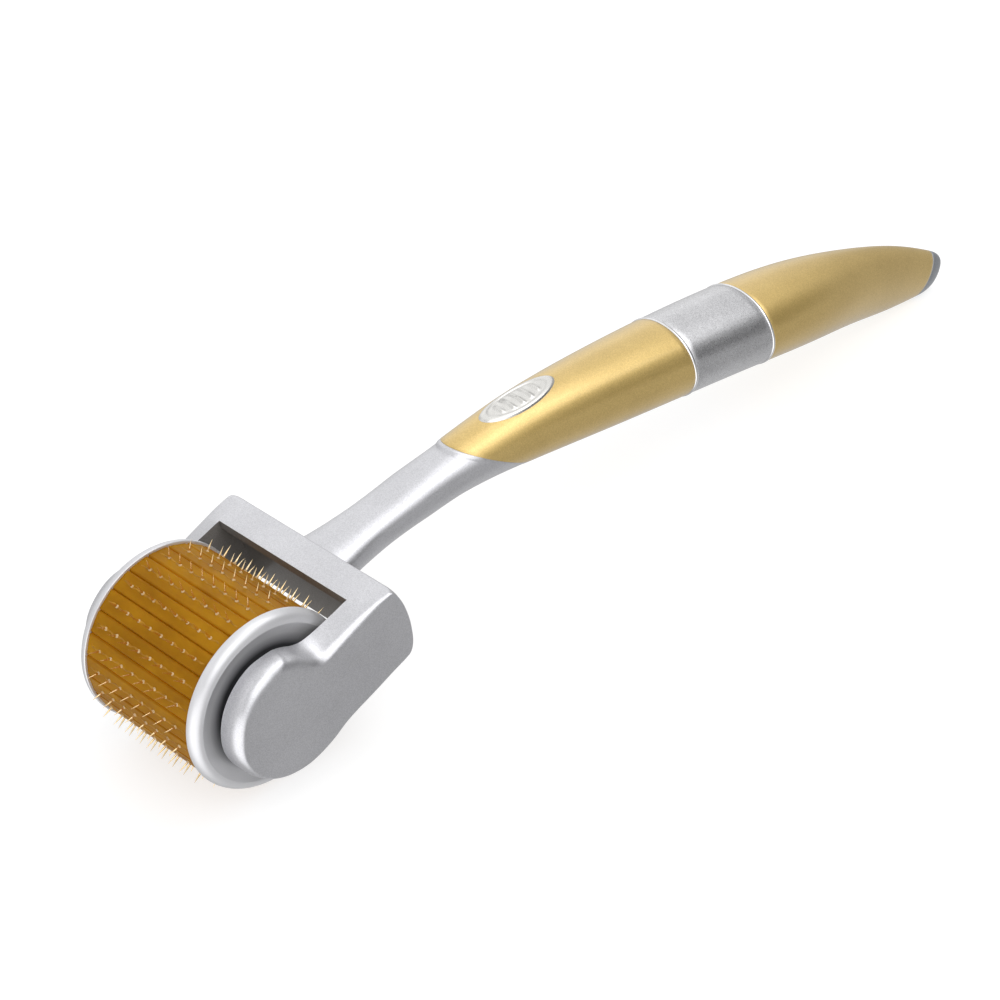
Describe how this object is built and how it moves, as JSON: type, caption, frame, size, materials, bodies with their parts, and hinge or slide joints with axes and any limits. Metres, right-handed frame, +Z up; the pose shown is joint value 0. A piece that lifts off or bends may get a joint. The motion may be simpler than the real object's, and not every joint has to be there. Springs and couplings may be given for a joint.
{
  "type": "derma roller",
  "caption": "Hand-held skin roller: a needle drum that turns on an axle in a two-armed fork, on a slim arched handle.",
  "frame": {"origin": "on the table under the middle of the object, as it rests on its needle tips and the tail of its handle", "axes": "+Z up, +Y along the object from the drum to the tail, X along the drum's axle"},
  "size_m": [0.0312, 0.1498, 0.0264],
  "materials": {
    "silver_paint": "satin metallic silver coat on moulded plastic",
    "gold_paint": "pearl champagne gold coat with fine flake",
    "glitter_band": "silver glitter under a clear coat",
    "ring_silver": "bright",
    "tail_grey": "satin metallic grey coat",
    "badge_gold": "satin, raised rim",
    "amber_plastic": "satin, slightly translucent amber",
    "needle_gold": "gold plated",
    "disc_silver": "metallised silver",
    "core_plastic": "plain moulded",
    "bush_plastic": "plain moulded",
    "axle_steel": "turned"
  },
  "bodies": {
    "handle": {"fork_frame": "silver_paint", "axle_pin": "axle_steel", "handle_spine": "core_plastic", "front_grip_top": "gold_paint", "front_grip_bottom": "gold_paint", "centre_band": "glitter_band", "trim_ring_front": "ring_silver", "trim_ring_rear": "ring_silver", "rear_grip_top": "gold_paint", "rear_grip_bottom": "gold_paint", "tail_cap": "tail_grey", "badge": "badge_gold"},
    "drum": {"drum_core": "core_plastic", "needle_bar_01": "amber_plastic", "needle_bar_02": "amber_plastic", "needle_bar_03": "amber_plastic", "needle_bar_04": "amber_plastic", "needle_bar_05": "amber_plastic", "needle_bar_06": "amber_plastic", "needle_bar_07": "amber_plastic", "needle_bar_08": "amber_plastic", "needle_bar_09": "amber_plastic", "needle_bar_10": "amber_plastic", "needle_bar_11": "amber_plastic", "needle_bar_12": "amber_plastic", "needle_bar_13": "amber_plastic", "needle_bar_14": "amber_plastic", "needle_bar_15": "amber_plastic", "needle_bar_16": "amber_plastic", "needle_bar_17": "amber_plastic", "needle_bar_18": "amber_plastic", "needle_bar_19": "amber_plastic", "needle_bar_20": "amber_plastic", "needle_bar_21": "amber_plastic", "needle_bar_22": "amber_plastic", "needle_bar_23": "amber_plastic", "needle_bar_24": "amber_plastic", "needles": "needle_gold", "end_disc_left": "disc_silver", "end_disc_right": "disc_silver", "bush_left": "bush_plastic", "bush_right": "bush_plastic"}
  },
  "joints": [
    {"name": "drum_spin", "type": "hinge", "parent": "handle", "child": "drum", "pos_m": [0, -0.06171, 0.01319], "axis": [1, 0, 0], "continuous": true}
  ]
}
